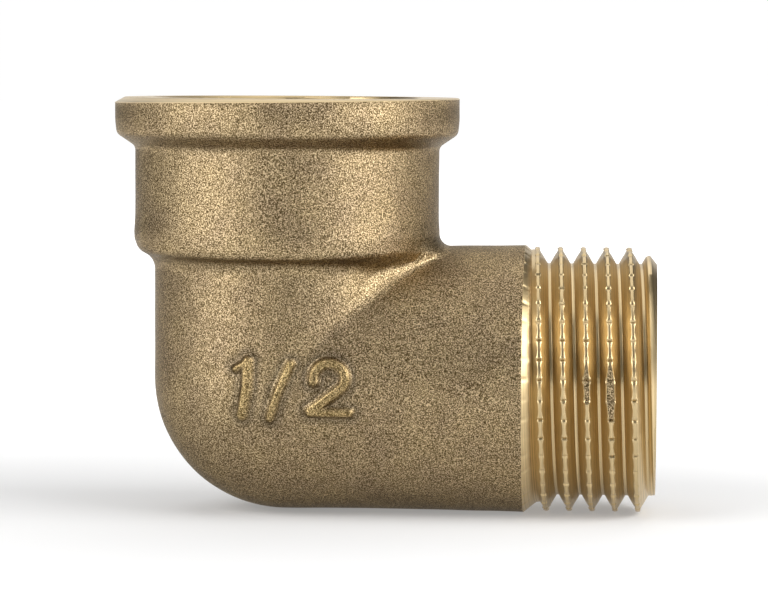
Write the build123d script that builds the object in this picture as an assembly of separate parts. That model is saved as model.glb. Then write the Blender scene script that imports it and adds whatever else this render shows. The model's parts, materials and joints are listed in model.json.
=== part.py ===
from build123d import *
import os
from math import acos, degrees, radians, sin, tan

# Threaded street elbow: one brass forging with a female socket and a male leg
# at right angles to it, turned and bored at both ends. Millimetres.
# The two axes cross at the origin. +Z runs out of the socket, +X out of the leg.

# Pipe thread, G 1/2, right-hand. The helix is not cut here: the spigot is turned
# to the thread's major diameter and the socket is bored to its minor diameter.
THREAD_MAJOR_D = 20.955
THREADS_PER_INCH = 14
MM_PER_INCH = 25.4
THREAD_DEPTH_PER_PITCH = 0.640327      # 55 degree rounded form

# Reach of each leg from the crossing of the axes
MOUTH_HEIGHT = 22.2
MALE_REACH = 29.4

# Male leg: a drafted forging, then the turned spigot
SPIGOT_LENGTH = 10.4
TURNING_STEP = 0.14                    # forging left standing above the spigot
LEG_DRAFT_ANGLE = 0.6
SPIGOT_NOSE_LENGTH = 1.05
SPIGOT_NOSE_DEPTH = 1.33

# Ball at the corner and the neck above it
BALL_STEP = 0.1                        # ball radius over the leg's radius at its root
CREASE_RADIUS = 0.8

# Socket outside: shoulder, wall and the rim round its mouth
SHOULDER_DEPTH = 10.9                  # mouth down to where the wall turns in
SHOULDER_RADIUS = 1.65
SOCKET_WALL = 1.62                     # over the thread's major diameter
RIM_PROJECTION = 1.6
RIM_HEIGHT = 2.9
RIM_SLOPE_ANGLE = 32.0
RIM_ROOT_RADIUS = 0.6
RIM_CORNER_RADIUS = 0.45
RIM_CHAMFER = 0.45

# Socket inside
SOCKET_DEPTH = 10.7
SOCKET_COUNTERSINK = 0.2               # past the thread's major radius
COUNTERSINK_ANGLE = 45.0
DRILL_POINT_ANGLE = 118.0

# Waterway
LEG_WATERWAY_D = 15.0
SOCKET_WATERWAY_D = 14.5
WATERWAY_CHAMFER = 0.4

# Sizes that follow from the ones above
pitch = MM_PER_INCH / THREADS_PER_INCH
major_r = THREAD_MAJOR_D / 2
minor_r = major_r - THREAD_DEPTH_PER_PITCH * pitch

spigot_start = MALE_REACH - SPIGOT_LENGTH
leg_end_r = major_r + TURNING_STEP
leg_root_r = leg_end_r - spigot_start * tan(radians(LEG_DRAFT_ANGLE))
ball_r = leg_root_r + BALL_STEP

socket_r = major_r + SOCKET_WALL
rim_r = socket_r + RIM_PROJECTION
rim_low = MOUTH_HEIGHT - RIM_HEIGHT
rim_root = rim_low - RIM_PROJECTION * tan(radians(RIM_SLOPE_ANGLE))

# The shoulder is two equal arcs, one hollow and one round, that meet in a tangent.
shoulder_turn = acos(1 - (socket_r - ball_r) / (2 * SHOULDER_RADIUS))
shoulder_top = MOUTH_HEIGHT - SHOULDER_DEPTH
shoulder_low = shoulder_top - 2 * SHOULDER_RADIUS * sin(shoulder_turn)

leg_bore_r = LEG_WATERWAY_D / 2
socket_bore_r = SOCKET_WATERWAY_D / 2
mouth_r = major_r + SOCKET_COUNTERSINK
countersink_depth = (mouth_r - minor_r) / tan(radians(COUNTERSINK_ANGLE))
socket_floor = MOUTH_HEIGHT - SOCKET_DEPTH
drill_point = (minor_r - socket_bore_r) / tan(radians(DRILL_POINT_ANGLE / 2))


def turned(outline, axis):
    """Solid of revolution from a closed outline in the plane of the two axes."""
    return revolve(Plane.XZ * make_face(outline), axis)


def ball_and_socket():
    """Ball, neck, shoulder, wall and rim, as one solid about the socket's axis."""
    turn = degrees(shoulder_turn)
    ball = CenterArc((0, 0), ball_r, -90, 90)
    neck = Line(ball @ 1, (ball_r, shoulder_low))
    hollow = JernArc(neck @ 1, (0, 1), SHOULDER_RADIUS, -turn)
    swell = JernArc(hollow @ 1, hollow % 1, SHOULDER_RADIUS, turn)
    rim = FilletPolyline(
        swell @ 1,
        (socket_r, rim_root),
        (rim_r, rim_low),
        (rim_r, MOUTH_HEIGHT - RIM_CHAMFER),
        radius=[RIM_ROOT_RADIUS, RIM_CORNER_RADIUS],
    )
    top = Polyline(rim @ 1, (rim_r - RIM_CHAMFER, MOUTH_HEIGHT), (0, MOUTH_HEIGHT), ball @ 0)
    return turned([ball, neck, hollow, swell, rim, top], Axis.Z)


def male_leg():
    """Drafted leg from the crossing out, with the turned spigot and its nose."""
    outline = Polyline(
        (0, 0),
        (0, leg_root_r),
        (spigot_start, leg_end_r),
        (spigot_start + TURNING_STEP, major_r),
        (MALE_REACH - SPIGOT_NOSE_LENGTH, major_r),
        (MALE_REACH, major_r - SPIGOT_NOSE_DEPTH),
        (MALE_REACH, 0),
        close=True,
    )
    return turned(outline, Axis.X)


def forging():
    """Both legs in one, with a fillet all along the crease where they meet."""
    socket = ball_and_socket()
    leg = male_leg()
    blank = socket + leg
    crease = new_edges(socket, leg, combined=blank)
    return fillet(crease, CREASE_RADIUS)


def leg_bore():
    """Waterway of the male leg: a round-ended bore to the crossing of the axes."""
    end = CenterArc((0, 0), leg_bore_r, 180, -90)
    wall = Polyline(
        end @ 1,
        (MALE_REACH - WATERWAY_CHAMFER, leg_bore_r),
        (MALE_REACH, leg_bore_r + WATERWAY_CHAMFER),
        (MALE_REACH, 0),
        end @ 0,
    )
    return turned([end, wall], Axis.X)


def socket_bore():
    """Countersunk thread bore with its drill-point floor, and the waterway below it."""
    outline = Polyline(
        (0, 0),
        (socket_bore_r, 0),
        (socket_bore_r, socket_floor - drill_point),
        (minor_r, socket_floor),
        (minor_r, MOUTH_HEIGHT - countersink_depth),
        (mouth_r, MOUTH_HEIGHT),
        (0, MOUTH_HEIGHT),
        close=True,
    )
    return turned(outline, Axis.Z)


elbow = forging() - leg_bore() - socket_bore()
elbow.label = "elbow"

os.makedirs("parts", exist_ok=True)
export_step(elbow, "parts/elbow.step")
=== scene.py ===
import json
from math import cos, hypot, pi, radians, sin, sqrt, tan

import bmesh
import bpy
import numpy as np
from mathutils import Euler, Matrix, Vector, noise


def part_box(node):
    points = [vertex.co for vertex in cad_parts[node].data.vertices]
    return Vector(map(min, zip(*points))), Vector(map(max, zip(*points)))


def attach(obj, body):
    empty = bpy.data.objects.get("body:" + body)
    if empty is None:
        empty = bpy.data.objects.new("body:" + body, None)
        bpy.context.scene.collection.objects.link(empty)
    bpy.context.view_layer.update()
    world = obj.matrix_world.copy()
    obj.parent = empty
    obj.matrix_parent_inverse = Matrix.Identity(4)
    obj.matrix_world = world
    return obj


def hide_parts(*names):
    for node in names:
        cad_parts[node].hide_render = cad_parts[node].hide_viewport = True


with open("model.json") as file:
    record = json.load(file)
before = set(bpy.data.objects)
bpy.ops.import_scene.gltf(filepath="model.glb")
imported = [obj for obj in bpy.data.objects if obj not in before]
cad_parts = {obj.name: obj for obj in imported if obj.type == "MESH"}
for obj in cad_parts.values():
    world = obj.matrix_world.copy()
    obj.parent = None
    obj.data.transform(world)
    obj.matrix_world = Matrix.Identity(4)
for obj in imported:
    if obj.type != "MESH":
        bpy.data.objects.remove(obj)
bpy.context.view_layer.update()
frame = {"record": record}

# Brass street elbow: one forging with a rimmed female socket and a male leg at right
# angles to it, turned and bored at both ends. The shape is worked out in millimetres,
# in the frame's own axes: the legs' axes cross at the origin, +Z runs out of the
# socket and +X out of the male leg. The front, with the size number, faces -Y.
MM = 0.001
TINY = 1e-9

# Sizes read from the frame
mounts = {m["name"]: m for m in frame["record"]["mounts"]}
major_r = mounts["male_thread"]["dims"]["r_mm"]
minor_r = mounts["female_thread"]["dims"]["r_mm"]
leg_bore_r = mounts["waterway"]["dims"]["r_mm"]
low, high = (Vector(corner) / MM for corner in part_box("elbow"))
mouth_z = high.z
male_end = high.x
rim_r = high.y
leg_end_r = -low.z

# Ball at the corner, and the drafted leg
BALL_R = 10.52
LEG_WAIST = 10.47                # leg's least radius, a little past the ball
LEG_WAIST_X = 7.0
LEG_SWELL_POWER = 1.3            # how late the leg swells towards its end

# Crease between the legs: a small fillet at the inner corner, wider further down
CREASE_RADIUS = 0.9
CREASE_WIDENING = 3.5
CREASE_WIDENS_BY = 0.2

# Shoulder under the socket's wall: a swell over a hollow. The back is like the front.
SOCKET_R = 12.1
SHOULDER_MIDDLE = 9.86           # height where the swell meets the hollow
SHOULDER_DROP = 0.12             # how much lower it lies at the front
SHOULDER_RADIUS = 1.45           # both radii, at the side away from the leg
FRONT_SWELL_RADIUS = 0.65
FRONT_HOLLOW_RADIUS = 1.2
FRONT_SPREAD = 0.15              # how soon the far side takes over from the front
LEG_HOLLOW_RADIUS = 2.0
LEG_SIDE_X = 6.0
LEG_SIDE_FADE = 3.5

# Bead round the foot of the socket's wall
WALL_SWELL = 0.07
WALL_SWELL_Z = 11.5
WALL_SWELL_SPAN = 0.75

# Rim
RIM_ROOT = 18.3
RIM_LOW = 19.3
RIM_HIGH = 21.4
RIM_ROOT_RADIUS = 0.6
RIM_CORNER_RADIUS = 0.7
RIM_BULGE = 0.12
RIM_BULGE_Z = 20.4
RIM_BULGE_RADIUS = 6.0

# Forging skin
SKIN_EDGE = 0.04                 # width over which skin turns to cut metal
CAST_UNEVENNESS = 0.035
CAST_WAVELENGTH = 2.6

# Turned mouth: the chamfer was cut off centre, so it is wider at the far side
MOUTH_R = 10.68
RIM_CHAMFER = 0.45
CHAMFER_SLOPE = 0.55
CHAMFER_OFFSET = 0.33

# Turned male end: the cone where the thread runs out, and the nose
SPIGOT_START = 19.0
CONE_SLOPE = 0.8
NOSE_LENGTH = 1.05
NOSE_R = 9.15

# Bores
BORE_CHAMFER = 0.4
SOCKET_BORE_R = 7.25
SOCKET_FLOOR = 11.5
DRILL_POINT_ANGLE = 118.0

# Pipe thread, right-hand, 14 to the inch
PITCH = 25.4 / 14
ROOT_FLAT = 0.22
MALE_DEPTH = 1.28
ROOT_DIP = 0.02                  # the root's middle lies a little deeper than its edges
CREST_FLAT = 0.20
CREST_INSET = 0.7                # share of the crest's half width that is quite flat
FIRST_CREST = 19.94
FLANK_MIDDLE = (0.48, 0.72)      # place and drop of the bend in the male flank
FEMALE_DEPTH = 1.16
FEMALE_CREST = 0.15
FEMALE_MIDDLE = (0.5, 0.55)
RUN_OUT = 1.5                    # pitches over which the female thread runs out at its floor

# Edge of a male crest, as rows of: distance past the edge, drop below the crest,
# overhang of the lip that the tool pushed up, share of the knurl mark
CREST_EDGE = ((0.0, 0.015, 0.02, 0.8), (0.03, 0.08, 0.04, 0.4), (0.06, 0.18, -0.03, 0.0))

# Knurl marks across the crests, with a burr on each side of a notch
KNURL_COUNT = 42
KNURL_DEPTH = 0.16
KNURL_RANGE = (0.5, 1.2)         # least and most depth of a mark, as a share
KNURL_START = 19.6               # the marks begin here, past the cone
KNURL_FADE = 0.2
NOSE_FADE = 0.3                  # and fade where the nose's bevel comes this near the crest
NOTCH_SPAN = 0.11                # in shares of the way to the next mark
BURR_PLACE = 0.09
BURR_SPAN = 0.14
BURR_SWELL = 1.6
CREST_SEED = 11

# Ticks of the same tool in the edge of the cone
TICK_LENGTH = 0.5
TICK_DEPTH = 0.11
TICK_SEED = 5

# Crests that the tool left uncut: crest, angle and half span in degrees, extra half width
UNCUT_CRESTS = ((3, 271.5, 8.0, 0.10), (4, 268.5, 12.5, 0.20))
UNCUT_REACH = 0.3                # rows this near the crest's middle move outwards there
UNCUT_SKIN = 0.02                # extra half width from which the crest keeps its skin

# Raised size number 1/2 on the front
MARK_BOX = ((-4.2, -3.4), (7.0, 3.0))
MARK_FRONT_Y = -8.0              # nothing behind this is part of the front
MARK_DEPTHS = (-14.0, -2.0)      # range of Y in which the front's skin lies
MARK_CUTS = 2
MARK_HEIGHT = 0.34
MARK_SOFTNESS = 0.45
HOLLOW_WIDTH = 0.7
HOLLOW_DEPTH = 0.05
BOW_CENTRE = (4.20, 0.66)        # of the 2
BOW_RADII = (1.22, 1.20)
BOW_DEGREES = range(190, -31, -10)

# Grid that wraps the whole surface: columns run round, rows run from the mouth to
# the male end outside and back again inside.
KNURL_COLUMNS = (0.0, 0.09, 0.21, 0.5, 0.79, 0.91)
OUTER_PIVOT = 14.0
INNER_PIVOT = 9.5
FAN_REACH = 2.5                  # longest ray of a fan, in pivots
FAN_ZONES = ((0, 8, 7), (8, 44, 73), (44, 64, 25), (64, 90, 21))
INNER_FAN_ROWS = 24
MOUTH_ROWS = 5
END_ROWS = 3
ARC_STEPS = 5
SKIN_STEP = 0.4
BORE_STEP = 1.6
HALVINGS = 40                    # steps in the search for a surface
MERGE_GAP = 0.002
SHARP_ANGLE = 35

knurl_turn = 2 * pi / KNURL_COUNT
knurl_turns = [k + part for k in range(KNURL_COUNT) for part in KNURL_COLUMNS]
theta = np.array([k * knurl_turn for k in knurl_turns] + [2 * pi])
nearest_knurl = np.round(theta / knurl_turn).astype(int)
off_knurl = abs(theta / knurl_turn - nearest_knurl)


def smooth(share):
    """Eased step from 0 to 1."""
    share = np.clip(share, 0, 1)
    return share * share * (3 - 2 * share)


def spaced(start, end, step):
    """Evenly spaced values from start to end, about a step apart."""
    return np.linspace(start, end, max(2, round(abs(end - start) / step) + 1))


def closed_in(near, far, passes):
    """Bounds drawn together by halving, round the place where the test stops passing on the way to far."""
    for _ in range(HALVINGS):
        middle = (near + far) / 2
        passed = passes(middle)
        near = np.where(passed, middle, near)
        far = np.where(passed, far, middle)
    return near, far


def rounded(points, radii):
    """Outline through the points, with an arc of the given radius at each inner corner."""
    line = [points[0]]
    for before, corner, after, radius in zip(points, points[1:], points[2:], radii):
        a = Vector(before) - Vector(corner)
        b = Vector(after) - Vector(corner)
        a.normalize()
        b.normalize()
        half = a.angle(b) / 2
        centre = Vector(corner) + (a + b).normalized() * radius / sin(half)
        start = Vector(corner) + a * radius / tan(half) - centre
        sweep = pi - 2 * half
        side = 1 if start.x * b.y - start.y * b.x > 0 else -1
        for k in range(ARC_STEPS + 1):
            angle = side * sweep * k / ARC_STEPS
            across = start.x * cos(angle) - start.y * sin(angle)
            up = start.x * sin(angle) + start.y * cos(angle)
            line.append((centre.x + across, centre.y + up))
    return line + [points[-1]]


# Form of the forging and of the waterway

def wall_swell(z):
    """Slight bead that the dies leave round the foot of the socket's wall."""
    return WALL_SWELL * np.exp(-((z - WALL_SWELL_Z) / WALL_SWELL_SPAN)**2)


def shoulder_radii(x, front):
    """Radii of the shoulder's swell and hollow.

    They are tight at the front and round at the far side, and the hollow is long beside the leg."""
    share = np.where(x > 0, 1, front * (1 + FRONT_SPREAD) / (front + FRONT_SPREAD))
    beside_leg = smooth((x - LEG_SIDE_X) / LEG_SIDE_FADE)
    swell_r = SHOULDER_RADIUS + (FRONT_SWELL_RADIUS - SHOULDER_RADIUS) * share
    hollow_r = SHOULDER_RADIUS + (FRONT_HOLLOW_RADIUS - SHOULDER_RADIUS) * share
    return swell_r, hollow_r + (LEG_HOLLOW_RADIUS - FRONT_HOLLOW_RADIUS) * beside_leg


def socket_radius(x, z, front):
    """Radius of the socket's outside at a height between the crossing and the rim."""
    swell_r, hollow_r = shoulder_radii(x, front)
    turned_by = np.arccos(1 - (SOCKET_R - BALL_R) / (swell_r + hollow_r))
    swell_height = swell_r * np.sin(turned_by)
    hollow_height = hollow_r * np.sin(turned_by)
    above = np.clip(SHOULDER_MIDDLE + swell_height - z, 0, swell_height)
    below = np.clip(z - SHOULDER_MIDDLE + hollow_height, 0, hollow_height)
    high_arc = SOCKET_R - swell_r + np.sqrt(swell_r**2 - above**2)
    low_arc = BALL_R + hollow_r - np.sqrt(hollow_r**2 - below**2)
    return np.where(z < SHOULDER_MIDDLE, low_arc, high_arc) + wall_swell(z)


def leg_radius(x):
    """Radius of the forged leg: it leaves the ball in a tangent and swells with its draft."""
    near = BALL_R + (LEG_WAIST - BALL_R) * (1 - np.cos(pi * np.clip(x / LEG_WAIST_X, 0, 1))) / 2
    far = np.clip((x - LEG_WAIST_X) / (SPIGOT_START - LEG_WAIST_X), 0, None)
    return near + (leg_end_r - LEG_WAIST) * far**LEG_SWELL_POWER


def forging(p):
    """Signed gap to the forging's skin, negative inside, with the crease between the legs filled."""
    x, y, z = p[..., 0], p[..., 1], p[..., 2]
    reach = np.sqrt(x * x + y * y + z * z)
    round_z = np.hypot(x, y)
    round_x = np.hypot(y, z)
    front = (y / (round_z + TINY))**2
    wall = round_z - socket_radius(x, z + SHOULDER_DROP * front, front)
    socket = np.where(z > 0, wall, reach - BALL_R)
    leg = np.where(x > 0, round_x - leg_radius(x), reach - BALL_R)

    # Cosine of the angle between the two skins: the fillet fades out where it nears 1
    beside_both = y * y / (round_z * round_x + TINY)
    above_ball = np.where(x > 0, beside_both, round_z / (reach + TINY))
    below_socket = np.where(x > 0, round_x / (reach + TINY), 1.0)
    cosine = np.where(z > 0, above_ball, below_socket)
    radius = CREASE_RADIUS + CREASE_WIDENING * cosine * (1 - cosine) / (cosine + CREASE_WIDENS_BY)
    fillet = radius * (1 - np.sqrt((1 + cosine) / 2)) / (1 - sqrt(0.5))
    inside = np.hypot(np.maximum(fillet - socket, 0), np.maximum(fillet - leg, 0))
    return np.maximum(fillet, np.minimum(socket, leg)) - inside


def waterway(p):
    """Signed gap to the waterway's wall near the crossing, negative in the water."""
    x, y, z = p[..., 0], p[..., 1], p[..., 2]
    leg = np.where(x > 0, np.hypot(y, z), np.sqrt(x * x + y * y + z * z)) - leg_bore_r
    down = np.where(z > 0, np.hypot(x, y) - SOCKET_BORE_R, leg)
    return np.minimum(leg, down)


# Strips of the surface

def ring_z(r, z):
    """Ring about the socket's axis."""
    return np.stack([r * np.cos(theta), r * np.sin(theta), np.broadcast_to(z, theta.shape)], -1)


def ring_x(r, x):
    """Ring about the leg's axis."""
    return np.stack([np.broadcast_to(x, theta.shape), r * np.sin(theta), r * np.cos(theta)], -1)


def fan(surface, pivot, angles):
    """Rings in planes that fan about a line beside the inner corner, from the socket round to the leg."""
    phi = np.radians(angles)[:, None]
    centre = np.stack([pivot * (1 - np.cos(phi)), 0 * phi, pivot * (1 - np.sin(phi))], -1)
    across = np.cos(theta)
    ray = np.stack([across * np.cos(phi), np.sin(theta) + 0 * phi, across * np.sin(phi)], -1)
    near = np.zeros(ray.shape[:2])
    far = np.full(ray.shape[:2], FAN_REACH * pivot)
    near, far = closed_in(near, far, lambda reach: surface(centre + reach[..., None] * ray) < 0)
    return centre + near[..., None] * ray


def fan_angles():
    """Angles of the outer fan's rings, closest where the shoulder and the crease turn."""
    return np.unique(np.concatenate([np.linspace(*zone) for zone in FAN_ZONES]))


def mouth_and_wall():
    """Turned mouth face, its off-centre chamfer, the rim and the socket's wall down to the fan."""
    chamfer = RIM_CHAMFER - CHAMFER_OFFSET * np.cos(theta)
    edge = mouth_z - CHAMFER_SLOPE * chamfer
    width = rim_r - chamfer - MOUTH_R
    turned = [ring_z(MOUTH_R + k * width, mouth_z) for k in np.linspace(0, 1, MOUTH_ROWS)]
    turned.append(ring_z(rim_r, edge))
    corners = [
        (rim_r, RIM_HIGH),
        (rim_r, RIM_BULGE_Z),
        (rim_r - RIM_BULGE, RIM_LOW),
        (SOCKET_R, RIM_ROOT),
        (SOCKET_R, OUTER_PIVOT),
    ]
    outline = rounded(corners, [RIM_BULGE_RADIUS, RIM_CORNER_RADIUS, RIM_ROOT_RADIUS])
    drop = SHOULDER_DROP * np.sin(theta)**2
    rows = [ring_z(rim_r, edge - SKIN_EDGE)]
    for (r0, z0), (r1, z1) in zip(outline, outline[1:]):
        step = SKIN_STEP / max(hypot(r1 - r0, z1 - z0), SKIN_STEP)
        for k in spaced(0, 1, step)[:-1]:
            z = z0 + k * (z1 - z0)
            rows.append(ring_z(r0 + k * (r1 - r0) + wall_swell(z + drop), z))
    rows.append(ring_z(SOCKET_R + wall_swell(OUTER_PIVOT + drop), OUTER_PIVOT))
    skin = np.ones((len(turned) + len(rows), len(theta)))
    skin[:len(turned)] = 0
    return np.array(turned + rows), skin


def forged_leg():
    """Forged leg from the fan to the turned cone."""
    places = spaced(OUTER_PIVOT, SPIGOT_START - SKIN_EDGE, SKIN_STEP)
    rows = [ring_x(leg_radius(x), x) for x in places]
    rows.append(ring_x(cone_radius(SPIGOT_START), SPIGOT_START))
    skin = np.ones((len(rows), len(theta)))
    skin[-1] = 0
    return np.array(rows), skin


def knurl(rng, count):
    """Depth of each knurl mark along the helix."""
    return rng.uniform(*KNURL_RANGE, count)


def notch_share():
    """Share of a knurl mark at each column: 1 in its middle."""
    return np.clip(1 - off_knurl / NOTCH_SPAN, 0, 1)


def cone_radius(x):
    """Radius of the cone turned where the thread runs out, with the knurl's ticks in its edge."""
    depth = knurl(np.random.default_rng(TICK_SEED), KNURL_COUNT)[nearest_knurl % KNURL_COUNT]
    tick = TICK_DEPTH * depth * notch_share() * np.clip(1 - (x - SPIGOT_START) / TICK_LENGTH, 0, 1)
    return leg_end_r - CONE_SLOPE * (x - SPIGOT_START) - tick


def nose_radius(x):
    """Radius of the bevel turned on the end of the male leg."""
    return NOSE_R + (male_end - x) * (major_r - NOSE_R) / NOSE_LENGTH


def uncut_width(n):
    """Extra half width of a crest where the tool left it uncut, in two short places on the front."""
    width = np.zeros(theta.shape)
    for crest, angle, span, most in UNCUT_CRESTS:
        if crest == n:
            off = (np.degrees(theta) - angle) / span
            width = most * np.clip(1 - off * off, 0, 1)
    return width


def male_profile():
    """Rows of one male thread: place along the pitch, drop, lip overhang and share of the knurl mark."""
    half = PITCH / 2
    crest = CREST_FLAT / 2
    flank = [(crest + past, drop, lip, share) for past, drop, lip, share in CREST_EDGE]
    flank.append((*FLANK_MIDDLE, 0.0, 0.0))
    flank.append((half - ROOT_FLAT / 2, MALE_DEPTH, 0.0, 0.0))
    rising = [(-along, drop, -lip, share) for along, drop, lip, share in reversed(flank)]
    top = [(place * crest, 0.0, 0.0, 1.0) for place in (-CREST_INSET, 0.0, CREST_INSET)]
    return [(-half, MALE_DEPTH + ROOT_DIP, 0.0, 0.0)] + rising + top + flank


def male_thread():
    """Thread that runs out on the turned cone, with knurled crests and a bevelled nose.

    Its rows follow the helix, and stay within the spigot's ends."""
    first = int(np.floor((SPIGOT_START - FIRST_CREST) / PITCH)) - 1
    last = int(np.ceil((male_end - FIRST_CREST) / PITCH)) + 2
    notch = notch_share()
    burr = np.clip(1 - abs(off_knurl - BURR_PLACE) / BURR_SPAN, 0, 1)
    strength = knurl(np.random.default_rng(CREST_SEED), (last - first + 3) * KNURL_COUNT)
    grid, skin = [], []
    for n in range(first, last + 1):
        depth = strength[(n - first + 1) * KNURL_COUNT - nearest_knurl]
        uncut = uncut_width(n)
        for along, drop, lip, share in male_profile():
            plain = FIRST_CREST + (n - theta / (2 * pi)) * PITCH + along
            past_cone = np.clip((plain - KNURL_START) / KNURL_FADE, 0, 1)
            clear = np.clip((nose_radius(plain) - major_r) / NOSE_FADE, 0, 1) * past_cone
            wide = np.sign(along) * uncut * (abs(along) < UNCUT_REACH)
            pushed = clear * lip * (1 + BURR_SWELL * depth * burr)
            x = np.clip(plain + wide + pushed, SPIGOT_START, male_end)
            cut = major_r - drop - clear * share * KNURL_DEPTH * depth * notch
            grid.append(ring_x(np.minimum(np.maximum(cut, cone_radius(x)), nose_radius(x)), x))
            rough = (abs(along) < CREST_FLAT / 2) & (uncut > UNCUT_SKIN)
            skin.append(np.where(rough, 1.0, 0.0))
    return np.array(grid), np.array(skin)


def female_thread():
    """Thread in the socket, from its drilled floor to the countersink at the mouth."""
    half = PITCH / 2
    flank = [(ROOT_FLAT / 2, FEMALE_DEPTH), FEMALE_MIDDLE, (half - FEMALE_CREST, 0.0)]
    profile = [(-half, 0.0)] + [(-along, depth) for along, depth in reversed(flank)] + flank
    helix = theta / (2 * pi)
    rows = []
    for n in range(-1, int((mouth_z - SOCKET_FLOOR) / PITCH) + 2):
        for along, depth in profile:
            plain = SOCKET_FLOOR + (n + helix + 0.5) * PITCH + along
            z = np.minimum(np.maximum(plain, SOCKET_FLOOR), mouth_z)
            full = np.clip((z - SOCKET_FLOOR) / (RUN_OUT * PITCH), 0, 1)
            countersink = MOUTH_R - (mouth_z - z)
            rows.append(ring_z(np.maximum(minor_r + depth * full, countersink), z))
    return np.array(rows)


def male_face():
    """Flat end of the male leg, from its nose in to the bore's chamfer."""
    return np.array([ring_x(r, male_end) for r in np.linspace(NOSE_R, leg_bore_r + BORE_CHAMFER, END_ROWS)])


def leg_bore():
    """Chamfered waterway of the leg, from its end in to the fan."""
    places = spaced(male_end - BORE_CHAMFER, INNER_PIVOT, BORE_STEP)
    chamfer = [ring_x(leg_bore_r + BORE_CHAMFER, male_end)]
    return np.array(chamfer + [ring_x(leg_bore_r, x) for x in places])


def socket_floor():
    """Waterway under the socket, and the drill-point floor above it."""
    point = (minor_r - SOCKET_BORE_R) / tan(radians(DRILL_POINT_ANGLE / 2))
    return np.array([
        ring_z(SOCKET_BORE_R, INNER_PIVOT),
        ring_z(SOCKET_BORE_R, SOCKET_FLOOR - point),
        ring_z((SOCKET_BORE_R + minor_r) / 2, SOCKET_FLOOR - point / 2),
        ring_z(minor_r, SOCKET_FLOOR),
    ])


def strips():
    """Every strip of the surface, in order round the section, with its share of forging skin."""
    corner = fan(forging, OUTER_PIVOT, fan_angles())
    outside = [mouth_and_wall(), (corner, np.ones(corner.shape[:2])), forged_leg(), male_thread()]
    crossing = fan(waterway, INNER_PIVOT, np.linspace(0, 90, INNER_FAN_ROWS))[::-1]
    inside = [male_face(), leg_bore(), crossing, socket_floor(), female_thread()]
    return outside + [(grid, np.zeros(grid.shape[:2])) for grid in inside]


def lathe_place(grid):
    """Distance of each row along the section, the same all round, which the tool's fine rings follow."""
    steps = np.linalg.norm(np.diff(grid, axis=0), axis=-1).mean(1)
    place = np.concatenate([[0.0], np.cumsum(steps)])
    return np.broadcast_to(place[:, None], grid.shape[:2])


def elbow_mesh():
    """Mesh of the whole elbow from its strips, which meet at their edges."""
    points, skins, places, faces = [], [], [], []
    for grid, skin in strips():
        rows, columns = grid.shape[:2]
        first = sum(len(p) for p in points)
        points.append(grid.reshape(-1, 3))
        skins.append(skin.reshape(-1))
        places.append(lathe_place(grid).reshape(-1))
        corner = np.arange((rows - 1) * columns).reshape(rows - 1, columns)[:, :-1].reshape(-1) + first
        faces.append(np.stack([corner, corner + columns, corner + columns + 1, corner + 1], -1))
    mesh = bpy.data.meshes.new("elbow_skin")
    mesh.from_pydata(np.concatenate(points) * MM, [], np.concatenate(faces).tolist())
    for name, values in (("skin", skins), ("lathe", places)):
        mesh.attributes.new(name, "FLOAT", "POINT").data.foreach_set("value", np.concatenate(values))
    return mesh


# Size number and the unevenness of the skin

def stroke_gap(u, v, points):
    """Distance from each place (u, v) to a stroke's centre line."""
    gap = np.full(u.shape, np.inf)
    for (u0, v0), (u1, v1) in zip(points, points[1:]):
        du, dv = u1 - u0, v1 - v0
        k = np.clip(((u - u0) * du + (v - v0) * dv) / (du * du + dv * dv), 0, 1)
        gap = np.minimum(gap, np.hypot(u - u0 - k * du, v - v0 - k * dv))
    return gap


def mark_strokes():
    """Half width and centre line of each stroke of the 1, the slash and the 2."""
    (u, v), (across, up) = BOW_CENTRE, BOW_RADII
    bow = [(u + across * cos(radians(a)), v + up * sin(radians(a))) for a in BOW_DEGREES]
    return [
        (0.42, [(-2.09, 1.95), (-2.17, -0.02), (-2.53, -2.20)]),
        (0.28, [(-2.12, 1.90), (-3.05, 1.36)]),
        (0.34, [(-0.37, -2.40), (-0.10, -1.47), (0.28, -0.35), (0.68, 0.58), (1.18, 1.75)]),
        (0.40, bow + [(2.75, -1.85)]),
        (0.34, [(2.70, -1.92), (5.75, -1.95)]),
    ]


def size_mark(u, v):
    """Height share of the raised size number at each place on the front, and of the hollow round it."""
    raised = np.zeros(u.shape)
    hollow = np.zeros(u.shape)
    for half_width, points in mark_strokes():
        past = stroke_gap(u, v, points) - half_width
        raised = np.maximum(raised, smooth(0.5 - past / MARK_SOFTNESS))
        hollow = np.maximum(hollow, smooth(1 - (past - MARK_SOFTNESS / 2) / HOLLOW_WIDTH))
    return raised, hollow * (1 - raised)


def front_depth(x, z):
    """Y of the forging's front skin at each place."""
    near, far = (np.full(x.shape, depth) for depth in MARK_DEPTHS)
    near, far = closed_in(near, far, lambda y: forging(np.stack([x, y, z], -1)) > 0)
    return far


def raise_mark(bm):
    """Finer faces on the front by the crossing, with the size number standing up from them."""
    (left, bottom), (right, top) = MARK_BOX

    def in_box(co):
        return co.y < MARK_FRONT_Y * MM and left < co.x / MM < right and bottom < co.z / MM < top

    faces = [f for f in bm.faces if in_box(f.calc_center_median())]
    edges = list({e for f in faces for e in f.edges})
    bmesh.ops.subdivide_edges(bm, edges=edges, cuts=MARK_CUTS, use_grid_fill=True)
    verts = [v for v in bm.verts if in_box(v.co)]
    x = np.array([v.co.x for v in verts]) / MM
    z = np.array([v.co.z for v in verts]) / MM
    y = front_depth(x, z)
    raised, hollow = size_mark(x, z)
    height = (raised * MARK_HEIGHT - hollow * HOLLOW_DEPTH) * MM
    raised_layer = bm.verts.layers.float["raised"]
    # The hollow share also darkens the brass there, as painted shade
    hollow_layer = bm.verts.layers.float["hollow"]
    bm.normal_update()
    for k, v in enumerate(verts):
        v.co.y = y[k] * MM
        v.co += v.normal * float(height[k])
        v[raised_layer] = float(raised[k])
        v[hollow_layer] = float(hollow[k])


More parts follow.
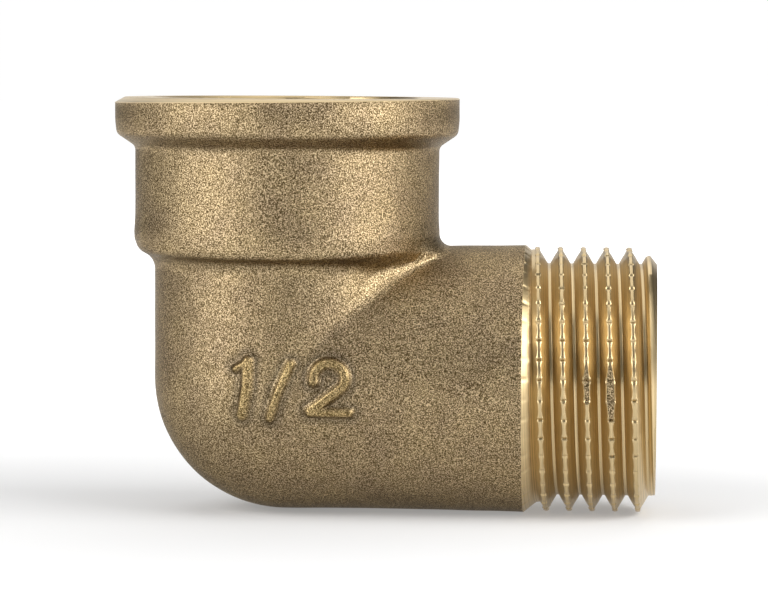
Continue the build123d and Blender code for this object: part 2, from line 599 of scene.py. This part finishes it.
def roughen(bm):
    """Shallow hollows of the forging skin, inward only."""
    skin = bm.verts.layers.float["skin"]
    bm.normal_update()
    for v in bm.verts:
        if v[skin] > 0.5:
            wave = 0.5 + 0.5 * noise.noise(v.co / (CAST_WAVELENGTH * MM))
            v.co -= v.normal * wave * CAST_UNEVENNESS * MM


def elbow_piece():
    """The elbow's one piece, closed and placed on its body."""
    mesh = elbow_mesh()
    bm = bmesh.new()
    bm.from_mesh(mesh)
    bm.verts.layers.float.new("raised")
    bm.verts.layers.float.new("hollow")
    bmesh.ops.remove_doubles(bm, verts=bm.verts, dist=MERGE_GAP * MM)
    bmesh.ops.recalc_face_normals(bm, faces=bm.faces)
    raise_mark(bm)
    roughen(bm)
    bm.to_mesh(mesh)
    bm.free()
    mesh.shade_smooth()
    mesh.set_sharp_from_angle(angle=radians(SHARP_ANGLE))
    piece = bpy.data.objects.new("elbow_forging", mesh)
    bpy.context.scene.collection.objects.link(piece)
    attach(piece, "root")
    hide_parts("elbow")
    return piece


# Brass. Colours are linear. A scale counts features per metre, or per millimetre for the rings.
GRAIN_SCALE = 10400
GRAIN_DETAIL = 2.0
GRAIN_COLOURS = (
    (0.35, (0.070, 0.047, 0.020)),
    (0.50, (0.265, 0.193, 0.103)),
    (0.65, (0.735, 0.567, 0.352)),
)
GRAIN_BUMP = 0.7
GRAIN_HEIGHT = 0.05
BLOTCH_SCALE = 330
BLOTCH_DETAIL = 4.0
BLOTCH_TINTS = ((0.3, (0.80, 0.79, 0.80)), (0.7, (1.0, 1.0, 0.95)))
# Tints on the size number: a lighter, yellower tone on the raised strokes, and painted shade that darkens
# and greys the hollow round them
RAISED_TINT_AND_HOLLOW_SHADE = (("raised", (1.09, 1.06, 0.88)), ("hollow", (0.68, 0.69, 0.73)))
WHITE = (1.0, 1.0, 1.0)
SKIN_ROUGHNESS = 0.39
SKIN_EDGE_TINT = 0.55
RING_SCALE = 9.0
RING_DETAIL = 2.0
RING_COLOURS = ((0.3, (0.46, 0.352, 0.19)), (0.7, (0.72, 0.554, 0.305)))
TURNED_ROUGHNESS = 0.33


def new_material(name):
    """Empty node material, with its nodes and links."""
    material = bpy.data.materials.new(name)
    material.use_nodes = True
    material.node_tree.nodes.clear()
    return material, material.node_tree.nodes, material.node_tree.links


def add(nodes, kind, **settings):
    """New node with the given settings."""
    node = nodes.new(kind)
    for name, value in settings.items():
        setattr(node, name, value)
    return node


def ramp(nodes, links, share, stops):
    """Colour that follows a share from 0 to 1 through the stops."""
    node = nodes.new("ShaderNodeValToRGB")
    ends = node.color_ramp.elements
    while len(ends) < len(stops):
        ends.new(0.5)
    for end, (place, colour) in zip(ends, stops):
        end.position = place
        end.color = (*colour, 1.0)
    links.new(share, node.inputs["Fac"])
    return node.outputs["Color"]


def noise_share(nodes, links, place, scale, detail, socket="Vector", **settings):
    """Noise from 0 to 1 at the given place."""
    node = add(nodes, "ShaderNodeTexNoise", **settings)
    node.inputs["Scale"].default_value = scale
    node.inputs["Detail"].default_value = detail
    links.new(place, node.inputs[socket])
    return node.outputs["Fac"]


def attribute(nodes, name):
    """Value stored on the mesh's points."""
    return add(nodes, "ShaderNodeAttribute", attribute_name=name).outputs["Fac"]


def multiplied(nodes, links, first, second):
    """Product of two varying colours."""
    node = add(nodes, "ShaderNodeMix", data_type="RGBA", blend_type="MULTIPLY")
    node.inputs["Factor"].default_value = 1.0
    links.new(first, node.inputs["A"])
    links.new(second, node.inputs["B"])
    return node.outputs["Result"]


def metal(nodes, links, colour, roughness):
    """Metal of a varying colour."""
    node = nodes.new("ShaderNodeBsdfPrincipled")
    node.inputs["Metallic"].default_value = 1.0
    node.inputs["Roughness"].default_value = roughness
    links.new(colour, node.inputs["Base Color"])
    return node


def grey(value):
    """Opaque grey."""
    return (value, value, value, 1.0)


def brass_material():
    """Blasted forging skin, and turned metal with fine rings wherever the skin is cut away."""
    material, nodes, links = new_material("brass")
    place = nodes.new("ShaderNodeTexCoord").outputs["Object"]

    grain = noise_share(nodes, links, place, GRAIN_SCALE, GRAIN_DETAIL)
    blotch = noise_share(nodes, links, place, BLOTCH_SCALE, BLOTCH_DETAIL)
    grain_colour = ramp(nodes, links, grain, GRAIN_COLOURS)
    skin_colour = multiplied(nodes, links, grain_colour, ramp(nodes, links, blotch, BLOTCH_TINTS))
    # Painted shade in the hollow round the size number, and a lighter, yellower tone on its raised strokes
    for name, tint in RAISED_TINT_AND_HOLLOW_SHADE:
        tint_and_shade = ramp(nodes, links, attribute(nodes, name), ((0.0, WHITE), (1.0, tint)))
        skin_colour = multiplied(nodes, links, skin_colour, tint_and_shade)
    skin = metal(nodes, links, skin_colour, SKIN_ROUGHNESS)
    skin.inputs["Specular Tint"].default_value = grey(SKIN_EDGE_TINT)
    bump = nodes.new("ShaderNodeBump")
    bump.inputs["Strength"].default_value = GRAIN_BUMP
    bump.inputs["Distance"].default_value = GRAIN_HEIGHT * MM
    links.new(grain, bump.inputs["Height"])
    links.new(bump.outputs["Normal"], skin.inputs["Normal"])

    along = attribute(nodes, "lathe")
    rings = noise_share(nodes, links, along, RING_SCALE, RING_DETAIL, "W", noise_dimensions="1D")
    turned = metal(nodes, links, ramp(nodes, links, rings, RING_COLOURS), TURNED_ROUGHNESS)

    mix = nodes.new("ShaderNodeMixShader")
    links.new(attribute(nodes, "skin"), mix.inputs[0])
    links.new(turned.outputs["BSDF"], mix.inputs[1])
    links.new(skin.outputs["BSDF"], mix.inputs[2])
    output = nodes.new("ShaderNodeOutputMaterial")
    links.new(mix.outputs["Shader"], output.inputs["Surface"])
    return material


# Stage, in metres
AIM = Vector((0.008, 0.0, 0.006))
FLOOR_Z = low.z * MM
FLOOR_REACH = 3.0
BACKDROP_Y = 2.5
BACKDROP_REACH = 1.0
BACKDROP_TOP = 1.2
FLOOR_WHITE = {"lit": 0.55, "near_glow": 0.25, "far_glow": 1.0, "reach": 0.17}
BACKDROP_WHITE = {"lit": 0.05, "near_glow": 1.0, "far_glow": 1.0, "reach": 1.0}
WORLD_LIGHT = 0.06

# Each lamp: name, place, size, radiance
LAMPS = (
    ("left", (-0.42, -0.33, 0.28), (0.50, 0.58), 3.75),
    ("right", (0.50, -0.20, 0.28), (0.50, 0.58), 4.6),
    ("top", (0.0, 0.2, 0.6), (0.6, 1.1), 1.3),
    ("above_camera", (0.0, -0.5, 0.42), (0.5, 0.25), 0.15),
    ("right_front", (0.267, -0.382, 0.291), (0.17, 0.20), 0.95),
)

# Camera, at the photograph's viewing angle: place in millimetres, turns in degrees
IMAGE_WIDTH = 768
FOCAL_PX = 3785
SENSOR = 36.0
CAMERA_PLACE = (26.55, -300.0, 25.6)
CAMERA_PITCH = 3.735
CAMERA_YAW = 3.585
CAMERA_ROLL = 0.3


def white_stage(name, lit, near_glow, far_glow, reach):
    """White for camera, mirror and glass rays; a plain lit surface for the rest, so that shadows show.

    The glow makes up for the lamps, which light the stage less the farther it is from the elbow."""
    material, nodes, links = new_material(name)
    path = nodes.new("ShaderNodeLightPath")
    seen = path.outputs["Is Camera Ray"]
    for ray in ("Is Glossy Ray", "Is Transmission Ray"):
        either = add(nodes, "ShaderNodeMath", operation="MAXIMUM")
        links.new(seen, either.inputs[0])
        links.new(path.outputs[ray], either.inputs[1])
        seen = either.outputs["Value"]
    distance = add(nodes, "ShaderNodeVectorMath", operation="LENGTH")
    links.new(nodes.new("ShaderNodeTexCoord").outputs["Object"], distance.inputs[0])
    glow = add(nodes, "ShaderNodeMapRange", interpolation_type="SMOOTHSTEP")
    links.new(distance.outputs["Value"], glow.inputs["Value"])
    glow.inputs["From Max"].default_value = reach
    glow.inputs["To Min"].default_value = near_glow
    glow.inputs["To Max"].default_value = far_glow
    strength = add(nodes, "ShaderNodeMath", operation="MULTIPLY")
    links.new(seen, strength.inputs[0])
    links.new(glow.outputs["Result"], strength.inputs[1])
    emission = nodes.new("ShaderNodeEmission")
    links.new(strength.outputs["Value"], emission.inputs["Strength"])
    surface = nodes.new("ShaderNodeBsdfDiffuse")
    surface.inputs["Color"].default_value = grey(lit)
    both = nodes.new("ShaderNodeAddShader")
    links.new(surface.outputs["BSDF"], both.inputs[0])
    links.new(emission.outputs["Emission"], both.inputs[1])
    output = nodes.new("ShaderNodeOutputMaterial")
    links.new(both.outputs["Shader"], output.inputs["Surface"])
    return material


def stage_plane(name, corners, material):
    """Flat part of the stage."""
    mesh = bpy.data.meshes.new(name)
    mesh.from_pydata([Vector(c) for c in corners], [], [tuple(range(len(corners)))])
    mesh.materials.append(material)
    piece = bpy.data.objects.new(name, mesh)
    bpy.context.scene.collection.objects.link(piece)


def floor_and_backdrop():
    """White floor under the elbow's lowest point, and a white wall far behind it."""
    round_square = ((-1, -1), (1, -1), (1, 1), (-1, 1))
    floor = [(i * FLOOR_REACH, j * FLOOR_REACH, FLOOR_Z) for i, j in round_square]
    stage_plane("floor", floor, white_stage("floor_white", **FLOOR_WHITE))
    heights = {-1: FLOOR_Z, 1: BACKDROP_TOP}
    backdrop = [(i * BACKDROP_REACH, BACKDROP_Y, heights[j]) for i, j in round_square]
    stage_plane("backdrop", backdrop, white_stage("backdrop_white", **BACKDROP_WHITE))


def softbox(name, place, size, radiance):
    """Area lamp that faces the elbow."""
    lamp = bpy.data.lights.new(name, "AREA")
    lamp.shape = "RECTANGLE"
    lamp.size, lamp.size_y = size
    lamp.energy = radiance * size[0] * size[1] * pi
    holder = bpy.data.objects.new(name, lamp)
    holder.location = place
    holder.rotation_euler = (AIM - Vector(place)).to_track_quat("-Z", "Y").to_euler()
    bpy.context.scene.collection.objects.link(holder)


def studio_world():
    """Dim even light from all round."""
    world = bpy.data.worlds.new("studio")
    world.use_nodes = True
    world.node_tree.nodes["Background"].inputs["Color"].default_value = grey(WORLD_LIGHT)
    bpy.context.scene.world = world


def photo_camera():
    """Camera that sees the elbow as the photograph does."""
    camera = bpy.data.objects.new("camera", bpy.data.cameras.new("camera"))
    camera.data.sensor_width = SENSOR
    camera.data.lens = SENSOR * FOCAL_PX / IMAGE_WIDTH
    camera.location = Vector(CAMERA_PLACE) * MM
    camera.rotation_euler = Euler((radians(90 - CAMERA_PITCH), 0, radians(CAMERA_YAW)))
    camera.rotation_euler.rotate_axis("Z", radians(CAMERA_ROLL))
    bpy.context.scene.collection.objects.link(camera)
    bpy.context.scene.camera = camera


elbow = elbow_piece()
elbow.data.materials.append(brass_material())
floor_and_backdrop()
for lamp in LAMPS:
    softbox(*lamp)
studio_world()
bpy.context.scene.view_settings.view_transform = "Standard"
photo_camera()
